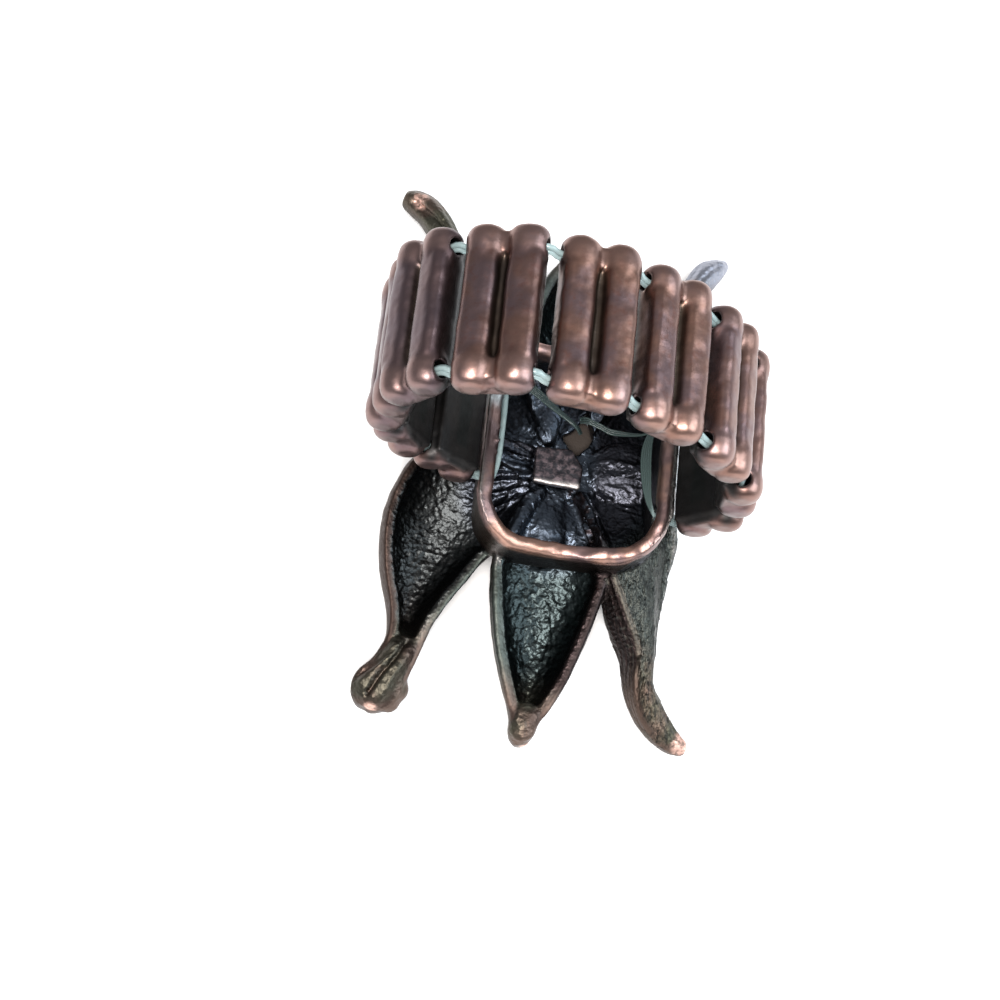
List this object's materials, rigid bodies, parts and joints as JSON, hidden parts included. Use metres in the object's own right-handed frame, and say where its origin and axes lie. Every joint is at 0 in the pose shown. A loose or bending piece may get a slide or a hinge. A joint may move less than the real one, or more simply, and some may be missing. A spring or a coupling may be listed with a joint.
{
  "type": "stretch ring",
  "caption": "Stretch finger ring: twin-rib bar beads on elastic, joined to an open gallery with a hollow-backed cast flower head.",
  "frame": {"origin": "middle of the bounding box at its lowest level, with the ring lying face down on its petals", "axes": "+Y along the finger and the flower's length, +X across the finger, +Z from the flower to the palm side of the band"},
  "size_m": [0.0242, 0.0388, 0.0279],
  "materials": {
    "antique_copper": "antique copper plate, worn bright at the rims and knobs",
    "blackened_casting": "blackened antique plate with copper showing on raised rims",
    "elastic_cord": "clear pale elastic"
  },
  "bodies": {
    "root": {"bead_1": "antique_copper", "bead_2": "antique_copper", "bead_3": "antique_copper", "bead_4": "antique_copper", "bead_5": "antique_copper", "bead_6": "antique_copper", "bead_7": "antique_copper", "bead_8": "antique_copper", "bead_9": "antique_copper", "bead_10": "antique_copper", "elastic": "elastic_cord", "flower_head": "blackened_casting", "stamen_post": "blackened_casting"}
  },
  "joints": []
}
